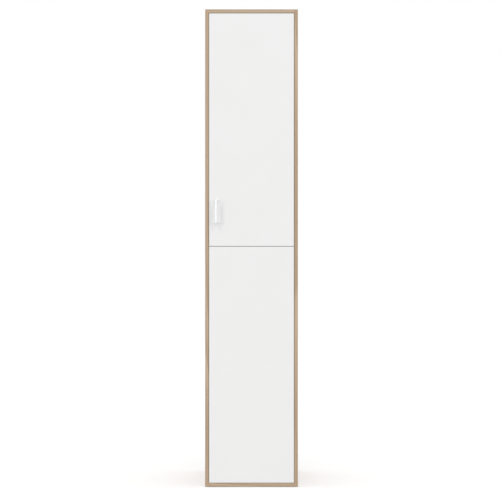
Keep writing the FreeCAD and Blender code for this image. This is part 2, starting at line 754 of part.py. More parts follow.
def hinge_cup(label, height):
    body = doc.addObject("PartDesign::Body", label)
    straight = "(flange_length - flange_width)"
    ears = sketch_on(body, "XZ_Plane")
    rectangle(ears, "-cup_screw_offset - flange_width / 2", f"-{straight} / 2", "flange_width", straight)
    pad(body, ears, "flange_thick", True)
    ear_ends = sketch_on(body, "XZ_Plane")
    for sign in ("-", ""):
        circle(ear_ends, "-cup_screw_offset", f"{sign}{straight} / 2", "flange_width")
    pad(body, ear_ends, "flange_thick", True)
    shell = sketch_on(body, "XZ_Plane")
    circle(shell, "0", "0", "cup_diameter - fit_play")
    pad(body, shell, "cup_depth - fit_play")
    drill(body, "XZ_Plane", "-flange_thick", True, "cup_diameter - 2 * cup_wall",
          "flange_thick + cup_depth - cup_floor", [("0", "0")])
    drill(body, "XZ_Plane", "-flange_thick", True, "cup_screw + fit_play", "flange_thick",
          [("-cup_screw_offset", f"{sign}cup_screw_pitch / 2") for sign in ("-", "")])
    for name, start, length in (("inner_cup_pin", cheek_inside, "arm_cheek"),
                                ("outer_cup_pin", boss_start, "boss_length")):
        lugs = sketch_on(body, "XZ_Plane", f"door_thick - {cup_base}")
        for low in (start, f"-({start} + {length})"):
            rectangle(lugs, f"{cup_side} - {name}_side - link_width / 2", low, "link_width", length)
        pad(body, lugs, f"{name}_front + link_width / 2 - {cup_base}", True)
    holes = sketch_on(body, "XY_Plane")
    for name in ("inner_cup_pin", "outer_cup_pin"):
        circle(holes, f"{cup_side} - {name}_side", f"{name}_front - door_thick", "link_pin + fit_play")
    pocket(body, holes, f"2 * ({boss_start} + boss_length)", both_ways=True)
    put(body, f"{inner} - {cup_side}", door_back, height)
    return name_sub_part(body, label)


# A flat plate that follows places in plan, with round ends, from one height to another. A place is
# a pair of formulas: how far from the side, and how far behind the doors' front.
def pin(name):
    return f"{name}_side", f"{name}_front"


def plan_point(place, height):
    side, behind = place
    return FreeCAD.Vector(-number(side), number(behind), number(height))


def ribbon(places, width, low, high):
    points = [plan_point(place, low) for place in places]
    outline = Part.makePolygon(points).makeOffset2D(number(width) / 2, 0, False, False, False)
    return Part.Face(outline).extrude(FreeCAD.Vector(0, 0, number(high) - number(low)))


def post(place, diameter, low, high):
    return Part.makeCylinder(number(diameter) / 2, number(high) - number(low), plan_point(place, low))


def block(place, across, deep, low, high):
    return Part.makeBox(number(across), number(deep), number(high) - number(low), plan_point(place, low))


def hinge_piece(shape, height):
    piece = doc.addObject("Part::Feature", "hinge_piece")
    piece.Shape = shape
    return put(piece, inner, door_front, height)


# Hinge arm: a cranked strip whose forked nose reaches into the cup and whose foot sits on the plate,
# held by one screw and shifted sideways by another
arm_screws = ["fixing_screw_front", "adjusting_screw_front"]


def hinge_arm_shape():
    foot_line = "plate_spine + arm_thick / 2"
    path = [pin("inner_arm_pin"), pin("outer_arm_pin"), pin("arm_knee"), (foot_line, "arm_heel_front"),
            (foot_line, "arm_end_front - arm_thick / 2")]
    nose = ribbon(path, "arm_thick", f"-{cheek_outside}", cheek_outside)
    foot = block(("plate_spine + arm_thick", "arm_heel_front"), "arm_thick",
                 "arm_end_front - arm_heel_front", "-arm_foot_width / 2", "arm_foot_width / 2")
    face = number("-plate_spine - arm_thick / 2")
    foot = foot.makeFillet(number("arm_round"), [edge for edge in foot.Edges if edge.BoundBox.XMax < face])
    fork = block(("inner_arm_pin_side + arm_thick", "0"), "inner_arm_pin_side + arm_thick",
                 "arm_slot_front", f"-{cheek_inside}", cheek_inside)
    tools = [fork]
    tools += [post(pin(name), "link_pin + fit_play", f"-{plate_outside}", plate_outside)
              for name in ("inner_arm_pin", "outer_arm_pin")]
    tools += [Part.makeCylinder(number("arm_screw + fit_play") / 2, number("arm_thick"),
                                plan_point(("plate_spine", place), "0"), FreeCAD.Vector(-1, 0, 0))
              for place in arm_screws]
    return nose.fuse(foot).removeSplitter().cut(tools)


# Outer link: two hooked plates beside the arm
def outer_link_shapes():
    shapes = []
    start, knee, end = pin("outer_arm_pin"), pin("outer_knee"), pin("outer_cup_pin")
    for low, high in ((plate_inside, plate_outside), (f"-{plate_outside}", f"-{plate_inside}")):
        plate = ribbon([start, knee, end], "link_width", low, high)
        shapes.append(plate.cut([post(place, "link_pin + fit_play", low, high) for place in (start, end)]))
    return shapes


# Inner link: one plate between the arm's cheeks, with play round the arm's pin
def inner_link_shape():
    low, high = "-inner_link_thick / 2", "inner_link_thick / 2"
    plate = ribbon([pin("open_eye"), pin("inner_knee"), pin("inner_cup_pin")], "link_width", low, high)
    eye = post(pin("open_eye"), "open_eye + 2 * open_eye_ring", low, high)
    holes = [post(pin("open_eye"), "open_eye", low, high),
             post(pin("inner_cup_pin"), "link_pin + fit_play", low, high)]
    return plate.fuse(eye).removeSplitter().cut(holes)


def pin_at(place, half_length, height):
    return rod("link_pin", f"2 * {half_length}", "+z", f"{inner} - {place}_side",
               f"{door_front} + {place}_front", f"{height} - {half_length}")


def mounting_plate(height):
    straight = "(plate_wing_length - plate_wing_width)"
    wing = [box("plate_thick", "plate_wing_width", straight, f"{inner} - plate_thick",
                f"{front} + {plate_front} - plate_wing_width / 2", f"{height} - {straight} / 2")]
    wing += [rod("plate_wing_width", "plate_thick", "-x", inner, f"{front} + {plate_front}",
                 f"{height} + {sign} * {straight} / 2") for sign in (-1, 1)]
    spine = box("plate_spine", "arm_end_front - arm_heel_front + plate_spine_start", "plate_spine_width",
                f"{inner} - plate_spine", f"{door_front} + arm_heel_front - plate_spine_start",
                f"{height} - plate_spine_width / 2")
    holes = [rod("plate_screw + fit_play", "plate_thick", "-x", inner, f"{front} + {plate_front}",
                 f"{height} + {sign} * plate_screw_pitch / 2") for sign in (-1, 1)]
    holes += [rod("arm_screw + fit_play", "arm_screw_depth", "+x", f"{inner} - plate_spine",
                  f"{door_front} + {place}", height) for place in arm_screws]
    return cut(fuse(*wing, spine), *holes)


# All hinges
arm_shape = hinge_arm_shape()
plates_of = {door: [] for door in doors}
outer_links_of = {door: [] for door in doors}
inner_links_of = {door: [] for door in doors}
cup_pins_of = {door: [] for door in doors}
cup_screws_of = {door: [] for door in doors}
hinge_screws = []
arm_pins = []
for door, spot, height in hinges:
    hinge_cup(f"{door}_hinge_cup_{spot}", height)
    name_sub_part(hinge_piece(arm_shape, height), f"{door}_hinge_arm_{spot}")
    plates_of[door].append(mounting_plate(height))
    outer_links_of[door] += [hinge_piece(shape, height) for shape in outer_link_shapes()]
    inner_links_of[door].append(hinge_piece(inner_link_shape(), height))
    arm_pins.append(pin_at("outer_arm_pin", plate_outside, height))
    arm_pins.append(pin_at("inner_arm_pin", cheek_outside, height))
    cup_pins_of[door].append(pin_at("outer_cup_pin", f"({boss_start} + boss_length)", height))
    cup_pins_of[door].append(pin_at("inner_cup_pin", cheek_outside, height))
    for place in arm_screws:
        hinge_screws.append(screw("arm_screw", "arm_thick + arm_screw_depth", "arm_screw_head",
                                  "arm_screw_head_height", "+x", f"{inner} - plate_spine - arm_thick",
                                  f"{door_front} + {place}", height))
    for sign in (-1, 1):
        hinge_screws.append(screw("plate_screw", "plate_thick + plate_screw_depth", "plate_screw_head",
                                  "plate_screw_head_height", "+x", f"{inner} - plate_thick",
                                  f"{front} + {plate_front}", f"{height} + {sign} * plate_screw_pitch / 2"))
        cup_screws_of[door].append(screw("cup_screw", "flange_thick + cup_screw_depth", "cup_screw_head",
                                         "cup_screw_head_height", "-y",
                                         f"{inner} - {cup_side} - cup_screw_offset",
                                         f"{door_back} + flange_thick",
                                         f"{height} + {sign} * cup_screw_pitch / 2"))
for door in doors:
    group(f"{door}_hinge_plates", plates_of[door])
    group(f"{door}_outer_links", outer_links_of[door])
    group(f"{door}_inner_links", inner_links_of[door])
    group(f"{door}_cup_pins", cup_pins_of[door])
    group(f"{door}_cup_screws", cup_screws_of[door])
group("hinge_screws", hinge_screws)
group("hinge_arm_pins", arm_pins)


# Build, check and write every sub-part

doc.recompute()
for piece in doc.Objects:
    if "Invalid" in piece.State or "Error" in piece.State:
        raise RuntimeError(f"{piece.Label} did not build: {piece.State}")
for piece in doc.findObjects("PartDesign::Pocket"):
    if piece.Shape.Volume >= piece.BaseFeature.Shape.Volume - 0.01:
        raise RuntimeError(f"{piece.Label} cuts nothing")
for piece in sub_parts:
    if piece.Shape.isNull() or not piece.Shape.isValid() or not piece.Shape.Solids:
        raise RuntimeError(f"{piece.Label} has no valid solid")

os.makedirs("parts", exist_ok=True)
for piece in sub_parts:
    piece.Shape.exportStep(f"parts/{piece.Label}.step")
print(len(sub_parts), "sub-parts written")
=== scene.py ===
import json
import math
import bmesh
import bpy
from mathutils import Matrix, Vector


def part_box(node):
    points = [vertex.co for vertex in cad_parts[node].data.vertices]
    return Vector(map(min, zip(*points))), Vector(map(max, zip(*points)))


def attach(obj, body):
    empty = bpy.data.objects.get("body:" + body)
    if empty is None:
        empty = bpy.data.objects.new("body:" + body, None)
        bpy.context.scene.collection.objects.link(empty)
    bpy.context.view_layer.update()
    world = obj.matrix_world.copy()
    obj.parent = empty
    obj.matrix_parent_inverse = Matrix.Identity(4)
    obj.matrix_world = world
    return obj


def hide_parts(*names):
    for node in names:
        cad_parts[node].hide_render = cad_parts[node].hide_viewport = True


# Tall office cabinet: white doors in a frame of light oak board, seen square from the front.

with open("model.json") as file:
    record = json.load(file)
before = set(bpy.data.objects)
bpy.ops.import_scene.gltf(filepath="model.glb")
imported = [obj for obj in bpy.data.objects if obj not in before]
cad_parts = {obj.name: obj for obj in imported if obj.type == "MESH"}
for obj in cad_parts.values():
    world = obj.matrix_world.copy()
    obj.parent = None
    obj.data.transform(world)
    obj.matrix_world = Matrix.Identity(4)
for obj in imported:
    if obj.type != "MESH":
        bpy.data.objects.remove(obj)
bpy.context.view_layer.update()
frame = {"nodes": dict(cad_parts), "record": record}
nodes = frame["nodes"]
mm = 0.001
print("frame loaded with", len(nodes), "nodes")


# Small tools for materials

resinIor = 1.5  # melamine paper, lacquer and bare wood are all close to this


def hexColor(code):
    channels = [int(code[i:i + 2], 16) / 255 for i in (1, 3, 5)]
    linear = [c / 12.92 if c <= 0.04045 else ((c + 0.055) / 1.055) ** 2.4 for c in channels]
    return (*linear, 1)


def setInputs(tree, node, inputs):
    for name, value in inputs.items():
        socket = node.inputs[name]
        if isinstance(value, bpy.types.NodeSocket):
            tree.links.new(value, socket)
        else:
            socket.default_value = value


def addNode(tree, kind, inputs=None, **settings):
    node = tree.nodes.new("ShaderNode" + kind)
    for name, value in settings.items():
        setattr(node, name, value)
    setInputs(tree, node, inputs or {})
    return node


def newMaterial(name):
    material = bpy.data.materials.new(name)
    material.use_nodes = True
    return material, material.node_tree, material.node_tree.nodes["Principled BSDF"]


# Light oak melamine: a printed paper pressed on board. The eye sees the long arches of flat-sawn oak, whose
# rings begin sharply and fade, fine streaks along the board and short dark pores that gather in the rings
# and are also pressed in, with a dull sheen.
oakMelamine = {
    "light": "#C4AE94",
    "main": "#B7A086",
    "dark": "#A38A70",
    "pore": "#876F57",
    "archWidth": 110 * mm,
    "archLength": 1750 * mm,
    "archDetail": 1,
    "rings": 13,  # growth rings across the spread of one arch
    "ringRise": 0.1,  # the share of a ring in which it darkens, and where it has faded again
    "ringEnd": 0.85,
    "ringStrength": 0.6,
    "streakWidth": 6 * mm,
    "streakLength": 420 * mm,
    "streakDetail": 3,
    "streakLow": 0.36,  # the noise between these two turns the light tone into the main one
    "streakHigh": 0.7,
    "poreWidth": 0.8 * mm,  # real pores are about 0.3 mm wide, and these are as coarse as they need to show
    "poreLength": 24 * mm,
    "poreDetail": 2,
    "poreLow": 0.58,  # the noise between these two opens a pore
    "poreHigh": 0.68,
    "poreBetween": 0.2,  # how strongly pores show between the rings, and where a ring is darkest
    "poreInRing": 0.7,
    "poreDepth": 0.06 * mm,
    "poreRelief": 0.5,
    "paperRoughness": 0.72,
    "poreRoughness": 0.82,
    "endFacing": 0.7,  # faces that point along the board more than this are its ends
}


def makeOak(name, along):
    oak = oakMelamine
    material, tree, shader = newMaterial(name)
    place = addNode(tree, "TexCoord").outputs
    # a board's ends are banded too, and there the grain runs along the band, from front to back
    axes = dict(addNode(tree, "SeparateXYZ", {"Vector": place["Object"]}).outputs.items())
    axes[along], axes["Y"] = axes["Y"], axes[along]
    endCoords = addNode(tree, "CombineXYZ", axes).outputs[0]
    facing = addNode(tree, "SeparateXYZ", {"Vector": place["Normal"]}).outputs[along]
    squareness = addNode(tree, "Math", {0: facing}, operation="ABSOLUTE").outputs[0]
    atEnd = addNode(tree, "Math", {0: squareness, 1: oak["endFacing"]}, operation="GREATER_THAN").outputs[0]
    coords = addNode(tree, "MixRGB", {
        "Fac": atEnd, "Color1": place["Object"], "Color2": endCoords}).outputs[0]

    def grain(pattern):
        scale = [1 / oak[pattern + "Width"]] * 3
        scale["XYZ".index(along)] = 1 / oak[pattern + "Length"]
        stretched = addNode(tree, "Mapping", {"Vector": coords, "Scale": scale}).outputs["Vector"]
        return addNode(tree, "TexNoise", {
            "Vector": stretched, "Scale": 1, "Detail": oak[pattern + "Detail"]}).outputs[0]

    turns = addNode(tree, "Math", {0: grain("arch"), 1: oak["rings"]}, operation="MULTIPLY").outputs[0]
    across = addNode(tree, "Math", {0: turns}, operation="FRACT").outputs[0]
    begun = addNode(tree, "MapRange", {"Value": across, "From Max": oak["ringRise"]}).outputs[0]
    faded = addNode(tree, "MapRange", {
        "Value": across, "From Min": oak["ringRise"], "From Max": oak["ringEnd"],
        "To Min": 1, "To Max": 0}).outputs[0]
    rings = addNode(tree, "Math", {0: begun, 1: faded}, operation="MINIMUM").outputs[0]
    streaks = addNode(tree, "MapRange", {
        "Value": grain("streak"), "From Min": oak["streakLow"], "From Max": oak["streakHigh"]}).outputs[0]
    pores = addNode(tree, "MapRange", {
        "Value": grain("pore"), "From Min": oak["poreLow"], "From Max": oak["poreHigh"]}).outputs[0]

    body = addNode(tree, "MixRGB", {
        "Fac": streaks, "Color1": hexColor(oak["light"]), "Color2": hexColor(oak["main"])}).outputs[0]
    ringShare = addNode(tree, "Math", {0: rings, 1: oak["ringStrength"]}, operation="MULTIPLY").outputs[0]
    ringed = addNode(tree, "MixRGB", {
        "Fac": ringShare, "Color1": body, "Color2": hexColor(oak["dark"])}).outputs[0]
    gathered = addNode(tree, "MapRange", {
        "Value": rings, "To Min": oak["poreBetween"], "To Max": oak["poreInRing"]}).outputs[0]
    poreShare = addNode(tree, "Math", {0: pores, 1: gathered}, operation="MULTIPLY").outputs[0]
    pored = addNode(tree, "MixRGB", {
        "Fac": poreShare, "Color1": ringed, "Color2": hexColor(oak["pore"])}).outputs[0]
    sheen = addNode(tree, "MapRange", {
        "Value": pores, "To Min": oak["paperRoughness"], "To Max": oak["poreRoughness"]}).outputs[0]
    relief = addNode(tree, "Bump", {
        "Height": pores, "Strength": oak["poreRelief"], "Distance": oak["poreDepth"]}, invert=True).outputs[0]
    setInputs(tree, shader, {"Base Color": pored, "Roughness": sheen, "Normal": relief, "IOR": resinIor})
    return material


# White melamine: white paper pressed on board with a fine pearl texture. The eye sees an even, faintly
# mottled white with a soft sheen that breaks up at a grazing angle.
whiteMelamine = {
    "main": "#EFEFEF",
    "shade": "#EBEBEA",
    "cloud": 180 * mm,
    "pearl": 1.6 * mm,  # the real texture is about 0.4 mm, and this is as coarse as it needs to show
    "detail": 2,
    "pearlDepth": 0.03 * mm,
    "pearlRelief": 0.4,
    "hollowRoughness": 0.42,
    "crestRoughness": 0.56,
}


def makeWhiteMelamine(name, white):
    material, tree, shader = newMaterial(name)
    coords = addNode(tree, "TexCoord").outputs["Object"]
    cloud = addNode(tree, "TexNoise", {
        "Vector": coords, "Scale": 1 / white["cloud"], "Detail": white["detail"]}).outputs[0]
    pearl = addNode(tree, "TexNoise", {
        "Vector": coords, "Scale": 1 / white["pearl"], "Detail": white["detail"]}).outputs[0]
    tone = addNode(tree, "MixRGB", {
        "Fac": cloud, "Color1": hexColor(white["main"]), "Color2": hexColor(white["shade"])}).outputs[0]
    sheen = addNode(tree, "MapRange", {
        "Value": pearl, "To Min": white["hollowRoughness"], "To Max": white["crestRoughness"]}).outputs[0]
    relief = addNode(tree, "Bump", {
        "Height": pearl, "Strength": white["pearlRelief"], "Distance": white["pearlDepth"]}).outputs[0]
    setInputs(tree, shader, {"Base Color": tone, "Roughness": sheen, "Normal": relief, "IOR": resinIor})
    return material


# Hardboard: pressed wood fibre, lacquered white on the inside and bare on the back. The eye sees a
# warm brown with short matted fibres behind, and a thin flat white inside.
hardboard = {
    "fibreLight": "#A98C68",
    "fibreDark": "#8A6D4B",
    "lacquer": "#EAEAE8",
    "fibre": 5 * mm,
    "detail": 5,
    "matting": 0.7,  # how much of the finer fibres shows, and how far they bend
    "bend": 1.5,
    "darkBelow": 0.3,  # the noise between these two turns dark fibres into light ones
    "lightAbove": 0.7,
    "depth": 0.1 * mm,
    "relief": 0.25,
    "roughness": 0.6,
    "insideFacing": -0.5,  # faces that point to the front more than this have the lacquer
}


def makeHardboard(name):
    board = hardboard
    material, tree, shader = newMaterial(name)
    place = addNode(tree, "TexCoord").outputs
    fibre = addNode(tree, "TexNoise", {
        "Vector": place["Object"], "Scale": 1 / board["fibre"], "Detail": board["detail"],
        "Roughness": board["matting"], "Distortion": board["bend"]}).outputs[0]
    spread = addNode(tree, "MapRange", {
        "Value": fibre, "From Min": board["darkBelow"], "From Max": board["lightAbove"]}).outputs[0]
    bare = addNode(tree, "MixRGB", {
        "Fac": spread, "Color1": hexColor(board["fibreDark"]),
        "Color2": hexColor(board["fibreLight"])}).outputs[0]
    facing = addNode(tree, "SeparateXYZ", {"Vector": place["Normal"]}).outputs["Y"]
    inside = addNode(tree, "Math", {0: facing, 1: board["insideFacing"]}, operation="LESS_THAN").outputs[0]
    tone = addNode(tree, "MixRGB", {
        "Fac": inside, "Color1": bare, "Color2": hexColor(board["lacquer"])}).outputs[0]
    relief = addNode(tree, "Bump", {
        "Height": fibre, "Strength": board["relief"], "Distance": board["depth"]}).outputs[0]
    setInputs(tree, shader, {
        "Base Color": tone, "Roughness": board["roughness"], "Normal": relief, "IOR": resinIor})
    return material


# Metals: how pale and how rough each finish is, and the size in mm of the brushing or mottling in it.
# Satin aluminium is brushed along the bar, near white, with broad soft highlights. Nickel plate on pressed
# steel is darker and warmer. Zinc plate is cooler and cloudier, and raw die-cast zinc is grey and grainy.
metals = {
    "satin aluminium": {"pale": "#E9ECEC", "deep": "#D6DADA", "smooth": 0.25, "rough": 0.39,
                        "grain": (0.6, 0.6, 30), "depth": 0.01},
    "nickel-plated steel": {"pale": "#D2CEC6", "deep": "#BDB8AF", "smooth": 0.18, "rough": 0.32,
                            "grain": (7, 7, 7), "depth": 0.01},
    "zinc-plated steel": {"pale": "#CBCFD4", "deep": "#AEB3B9", "smooth": 0.26, "rough": 0.44,
                          "grain": (4, 4, 4), "depth": 0.02},
    "die-cast zinc": {"pale": "#B4B6B8", "deep": "#979A9D", "smooth": 0.42, "rough": 0.58,
                      "grain": (1.5, 1.5, 1.5), "depth": 0.05},
}
metalGrain = {"detail": 3, "smoothBelow": 0.3, "roughAbove": 0.7, "relief": 0.2}


def makeMetal(name):
    metal = metals[name]
    material, tree, shader = newMaterial(name)
    coords = addNode(tree, "TexCoord").outputs["Object"]
    scale = [1 / (size * mm) for size in metal["grain"]]
    stretched = addNode(tree, "Mapping", {"Vector": coords, "Scale": scale}).outputs["Vector"]
    grain = addNode(tree, "TexNoise", {
        "Vector": stretched, "Scale": 1, "Detail": metalGrain["detail"]}).outputs[0]
    tone = addNode(tree, "MixRGB", {
        "Fac": grain, "Color1": hexColor(metal["pale"]), "Color2": hexColor(metal["deep"])}).outputs[0]
    sheen = addNode(tree, "MapRange", {
        "Value": grain, "From Min": metalGrain["smoothBelow"], "From Max": metalGrain["roughAbove"],
        "To Min": metal["smooth"], "To Max": metal["rough"]}).outputs[0]
    relief = addNode(tree, "Bump", {
        "Height": grain, "Strength": metalGrain["relief"], "Distance": metal["depth"] * mm}).outputs[0]
    setInputs(tree, shader, {"Base Color": tone, "Roughness": sheen, "Normal": relief, "Metallic": 1})
    return material


# Moulded and sintered pieces, with the size and depth of their grain in mm. Nylon is a waxy white, ABS a
# fine-textured grey, and ferrite a dull charcoal with a sintered grain.
moulded = {
    "white nylon": {"pale": "#EEEEEA", "deep": "#E3E3DE", "roughness": 0.42, "ior": 1.53,
                    "grain": 2.5, "depth": 0.03},
    "grey ABS": {"pale": "#9A9DA0", "deep": "#8B8E92", "roughness": 0.48, "ior": 1.54,
                 "grain": 0.8, "depth": 0.04},
    "ferrite": {"pale": "#3A3A3C", "deep": "#262628", "roughness": 0.72, "ior": 2.4,
                "grain": 1.2, "depth": 0.06},
}
mouldedGrain = {"detail": 3, "relief": 0.3}


def makeMoulded(name):
    stuff = moulded[name]
    material, tree, shader = newMaterial(name)
    coords = addNode(tree, "TexCoord").outputs["Object"]
    grain = addNode(tree, "TexNoise", {
        "Vector": coords, "Scale": 1 / (stuff["grain"] * mm), "Detail": mouldedGrain["detail"]}).outputs[0]
    tone = addNode(tree, "MixRGB", {
        "Fac": grain, "Color1": hexColor(stuff["pale"]), "Color2": hexColor(stuff["deep"])}).outputs[0]
    relief = addNode(tree, "Bump", {
        "Height": grain, "Strength": mouldedGrain["relief"], "Distance": stuff["depth"] * mm}).outputs[0]
    setInputs(tree, shader, {
        "Base Color": tone, "Roughness": stuff["roughness"], "Normal": relief, "IOR": stuff["ior"]})
    return material


# Beech: a pale pink wood, turned and fluted for dowels, with short flecks along the grain.
beech = {
    "pale": "#D9BA90",
    "fleck": "#BF9A6E",
    "fleckWidth": 0.8 * mm,
    "fleckLength": 6 * mm,
    "roughness": 0.6,
}


def makeBeech(name):
    material, tree, shader = newMaterial(name)
    coords = addNode(tree, "TexCoord").outputs["Object"]
    scale = (1 / beech["fleckLength"], 1 / beech["fleckWidth"], 1 / beech["fleckWidth"])
    stretched = addNode(tree, "Mapping", {"Vector": coords, "Scale": scale}).outputs["Vector"]
    fleck = addNode(tree, "TexNoise", {"Vector": stretched, "Scale": 1}).outputs[0]
    tone = addNode(tree, "MixRGB", {
        "Fac": fleck, "Color1": hexColor(beech["pale"]), "Color2": hexColor(beech["fleck"])}).outputs[0]
    setInputs(tree, shader, {"Base Color": tone, "Roughness": beech["roughness"], "IOR": resinIor})
    return material


# Each slot of the record gets its finish, and oak follows the length of its board

uprightOak = makeOak("oak melamine, upright grain", "Z")
levelOak = makeOak("oak melamine, level grain", "X")
finishes = {
    "white_door_board": makeWhiteMelamine("white melamine", whiteMelamine),
    "white_edge_band": makeWhiteMelamine("white ABS edge band", {**whiteMelamine, "shade": "#EDEDEC"}),
    "white_back_board": makeHardboard("lacquered hardboard"),
    "satin_aluminium": makeMetal("satin aluminium"),
    "nickel_plated_steel": makeMetal("nickel-plated steel"),
    "zinc_plated_steel": makeMetal("zinc-plated steel"),
    "die_cast_zinc": makeMetal("die-cast zinc"),
    "beech": makeBeech("beech"),
    "white_nylon": makeMoulded("white nylon"),
    "grey_plastic": makeMoulded("grey ABS"),
    "ferrite_magnet": makeMoulded("ferrite"),
}
uprightBoards = ("left_side", "right_side", "left_side_band", "right_side_band")
for entry in frame["record"]["subparts"]:
    name, slot = entry["node"], entry["material_slot"]
    if slot in finishes:
        finish = finishes[slot]
    else:
        finish = uprightOak if name in uprightBoards else levelOak
    nodes[name].data.materials.clear()
    nodes[name].data.materials.append(finish)


# Small tools for meshes

meshing = {
    "smoothAngle": math.radians(40),  # edges that turn more than this stay sharp
    "faceOrder": Vector((0.13, 0.37, 0.92)),
    "weld": 0.001 * mm,
}


def addObject(name, data):
    item = bpy.data.objects.new(name, data)
    bpy.context.scene.collection.objects.link(item)
    return item


def meshFrom(bm, name):
    mesh = bpy.data.meshes.new(name)
    bm.to_mesh(mesh)
    bm.free()
    return mesh


def finishPiece(bm, name, body, slot, replaced):
    bmesh.ops.recalc_face_normals(bm, faces=bm.faces)
    # extruding keeps no fixed order of faces, so they are put in order along a slanted line
    bm.faces.sort(key=lambda face: face.calc_center_median().dot(meshing["faceOrder"]))
    mesh = meshFrom(bm, name)
    mesh.shade_smooth()
    mesh.set_sharp_from_angle(angle=meshing["smoothAngle"])
    mesh.materials.append(finishes[slot])
    piece = addObject(name, mesh)
    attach(piece, body)
    if replaced:
        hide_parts(replaced)


def solidsOf(node):
    bm = bmesh.new()
    bm.from_mesh(nodes[node].data)
    bmesh.ops.remove_doubles(bm, verts=bm.verts, dist=meshing["weld"])
    seen = set()
    solids = []
    for first in bm.verts:
        if first in seen:
            continue
        seen.add(first)
        solid = [first]
        for vert in solid:
            for edge in vert.link_edges:
                other = edge.other_vert(vert)
                if other not in seen:
                    seen.add(other)
                    solid.append(other)
        solids.append([vert.co.copy() for vert in solid])
    bm.free()
    return solids


def cornersOf(points):
    return [Vector([limit(p[i] for p in points) for i in range(3)]) for limit in (min, max)]


# Bow handle: one round bar with two tight corners, standing on the upper door
bowHandle = {
    "sides": 40,
    "cornerRound": 2.5 * mm,
    "cornerSteps": 6,
    "shoulder": 8 * mm,
    "footChamfer": 0.5 * mm,
}


def makeBowHandle():
    low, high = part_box("handle")
    radius = (high.x - low.x) / 2
    chamfer, shoulder = bowHandle["footChamfer"], bowHandle["shoulder"]
    foot = Vector(((low.x + high.x) / 2, high.y, low.z + radius))
    legLength = (high.y - low.y) - radius - chamfer - shoulder
    gripLength = (high.z - low.z) - 2 * radius - 2 * shoulder
    bm = bmesh.new()
    start = Matrix.Translation(foot) @ Matrix.Rotation(math.pi / 2, 4, "X")
    bmesh.ops.create_circle(bm, segments=bowHandle["sides"], radius=radius - chamfer, matrix=start)

    def pull(ring, step, reshape=None):
        grown = bmesh.ops.extrude_edge_only(bm, edges=ring)["geom"]
        verts = [item for item in grown if isinstance(item, bmesh.types.BMVert)]
        bmesh.ops.translate(bm, verts=verts, vec=step)
        if reshape:
            centre = sum((v.co for v in verts), Vector()) / len(verts)
            bmesh.ops.transform(bm, verts=verts, matrix=reshape, space=Matrix.Translation(-centre))
        return [item for item in grown if isinstance(item, bmesh.types.BMEdge)
                and all(v in verts for v in item.verts)]

    # a ring is slanted into each corner's mitre and set straight again after it,
    # and straight rings a shoulder away from the corners keep the shading of the bar even
    alongLeg = Matrix(((1, 0, 0, 0), (0, 1, 1, 0), (0, 0, 1, 0), (0, 0, 0, 1)))
    alongGrip = Matrix(((1, 0, 0, 0), (0, 1, 0, 0), (0, -1, 1, 0), (0, 0, 0, 1)))
    ring = pull(list(bm.edges), (0, -chamfer, 0), Matrix.Scale(radius / (radius - chamfer), 4))
    ring = pull(ring, (0, -legLength, 0))
    lowCorner = pull(ring, (0, -shoulder, 0), alongLeg)
    ring = pull(lowCorner, (0, 0, shoulder), alongGrip)
    ring = pull(ring, (0, 0, gripLength))
    highCorner = pull(ring, (0, 0, shoulder), alongGrip)
    ring = pull(highCorner, (0, shoulder, 0), alongLeg)
    ring = pull(ring, (0, legLength, 0))
    pull(ring, (0, chamfer, 0), Matrix.Scale((radius - chamfer) / radius, 4))
    bmesh.ops.holes_fill(bm, edges=bm.edges)
    bmesh.ops.bevel(bm, geom=lowCorner + highCorner, offset=bowHandle["cornerRound"], offset_type="OFFSET",
                    affect="EDGES", segments=bowHandle["cornerSteps"], profile=0.5, material=-1)
    finishPiece(bm, "bowHandle", "upper_door", "satin_aluminium", "handle")


makeBowHandle()
print("bow handle made")


# Screws and cams: heads with a cross recess, where the frame has its plain turned ones
screwHead = {
    "sides": 28,
    # rings from the foot of a head to its top: share of the radius, and level as a share of the height
    "pan": [(1.0, -1.0), (1.0, -0.45), (0.9, -0.16), (0.72, 0.0)],
    "flat": [(1.0, -1.0), (1.0, -0.06), (0.96, 0.0)],
    "crossArm": 0.56,  # arm and width of the recess as shares of the radius
    "crossWidth": 0.19,
    "crossDepth": 0.75,  # a share of the radius or of the head's height, whichever is less
    "crossTaper": 0.55,
    "flatness": 0.01 * mm,  # points this near to an end lie on it
    "rimShare": 0.95,  # points further out than this share of the radius lie on the head's rim
    "leastShank": 1 * mm,
}


def readTurned(points, axis=None):
    low, high = cornersOf(points)
    size = high - low
    if axis is None:
        axis = max(range(3), key=lambda i: size[i])
    centre = (low + high) / 2

    def offAxis(point):
        flat = point - centre
        flat[axis] = 0
        return flat.length

    reach = {}
    for end in (low[axis], high[axis]):
        reach[end] = max(offAxis(p) for p in points if abs(p[axis] - end) < screwHead["flatness"])
    headEnd = max(reach, key=reach.get)
    outward = Vector()
    outward[axis] = math.copysign(1, headEnd - centre[axis])
    top = centre + outward * size[axis] / 2
    depths = [(top - p).dot(outward) for p in points if offAxis(p) > screwHead["rimShare"] * reach[headEnd]]
    headHeight = max((depth for depth in depths if depth > screwHead["flatness"]), default=size[axis])
    return {"top": top, "outward": outward, "radius": reach[headEnd], "headHeight": headHeight,
            "shank": min(reach.values()), "length": size[axis]}


